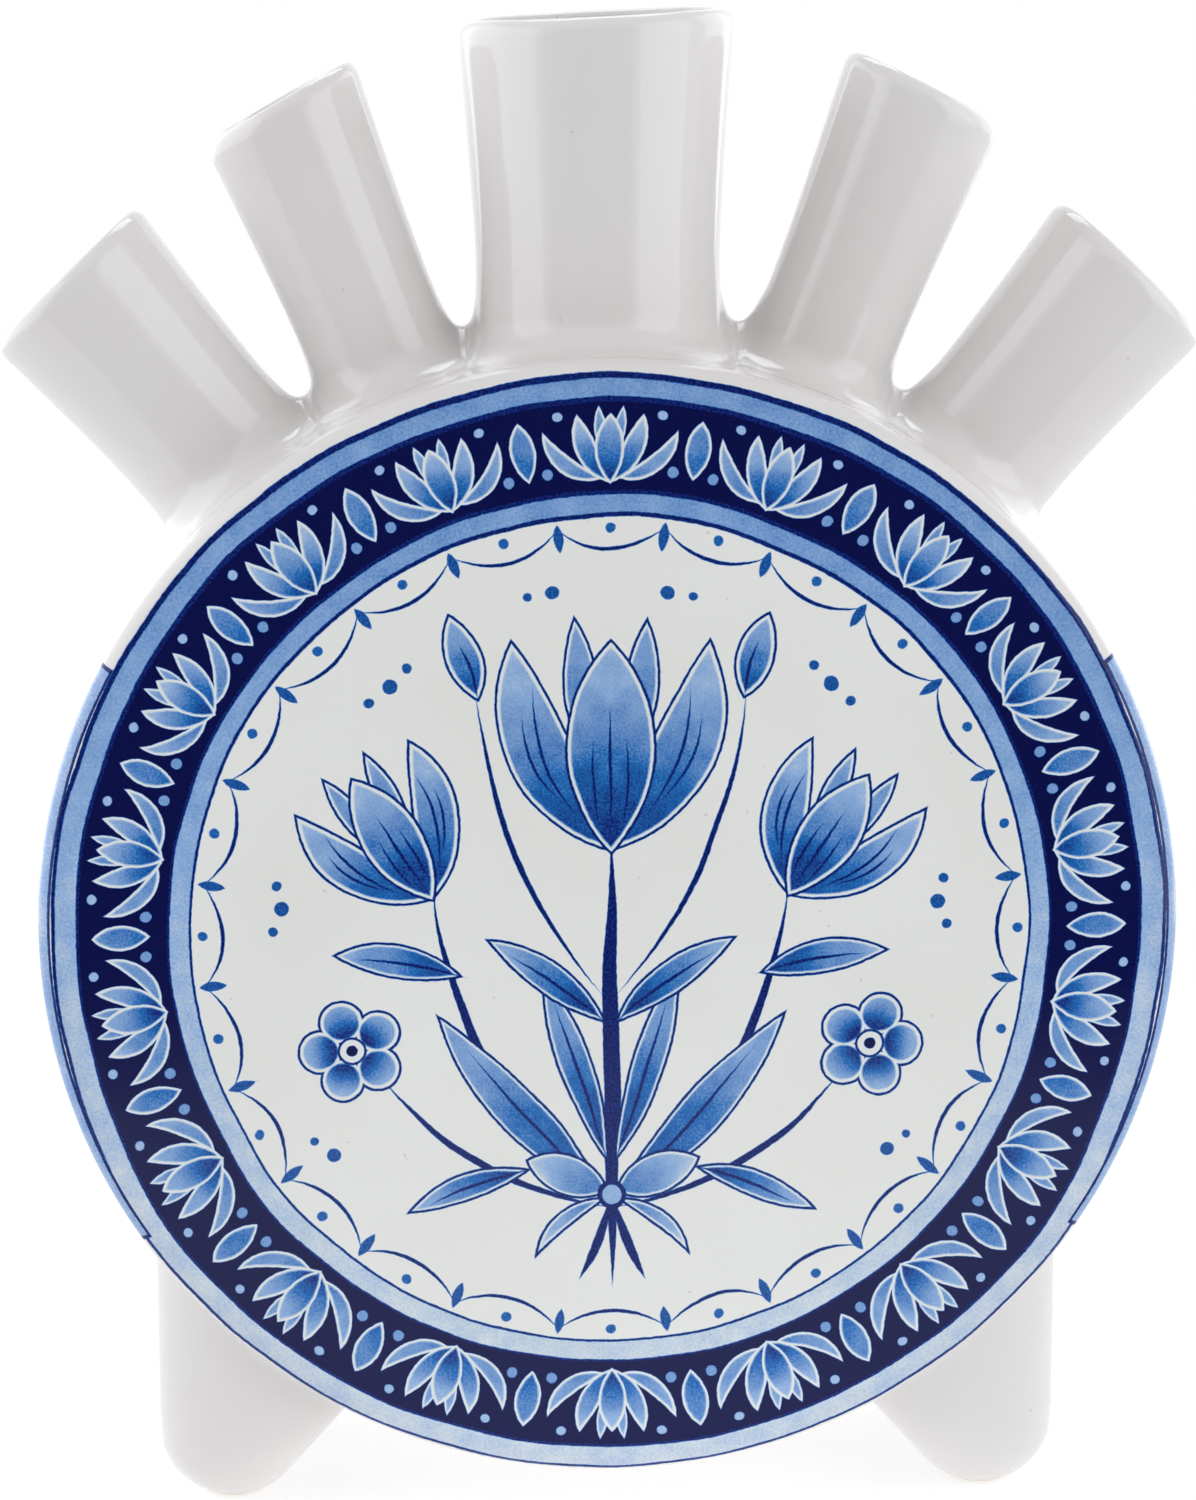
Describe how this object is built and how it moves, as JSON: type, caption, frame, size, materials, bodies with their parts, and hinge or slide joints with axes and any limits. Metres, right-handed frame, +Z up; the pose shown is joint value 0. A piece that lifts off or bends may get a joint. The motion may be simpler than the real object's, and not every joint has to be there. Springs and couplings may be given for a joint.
{
  "type": "tulip vase",
  "caption": "Flat round drum-shaped flower vase on short feet, with a fan of open spouts on top, one for each stem, and a painted blue and white face.",
  "frame": {"origin": "on the table under the middle of the vase: the bottom centre of its bounding box", "axes": "+Z up, +X to the right as the painted front face is seen, -Y out of the front face"},
  "size_m": [0.1928, 0.06, 0.24],
  "materials": {
    "white_glaze": "glossy clear glaze over white tin-glazed earthenware",
    "painted_glaze": "glossy clear glaze over hand-painted cobalt blue on white"
  },
  "bodies": {
    "root": {"front_plate": "painted_glaze", "back_plate": "painted_glaze", "side_wall": "white_glaze", "spout_outer_left": "white_glaze", "spout_inner_left": "white_glaze", "spout_centre": "white_glaze", "spout_inner_right": "white_glaze", "spout_outer_right": "white_glaze", "spout_coil_outer_left": "white_glaze", "spout_coil_inner_left": "white_glaze", "spout_coil_centre": "white_glaze", "spout_coil_inner_right": "white_glaze", "spout_coil_outer_right": "white_glaze", "foot_front_left": "white_glaze", "foot_front_right": "white_glaze", "foot_back_left": "white_glaze", "foot_back_right": "white_glaze", "foot_coil_front_left": "white_glaze", "foot_coil_front_right": "white_glaze", "foot_coil_back_left": "white_glaze", "foot_coil_back_right": "white_glaze"}
  },
  "joints": []
}
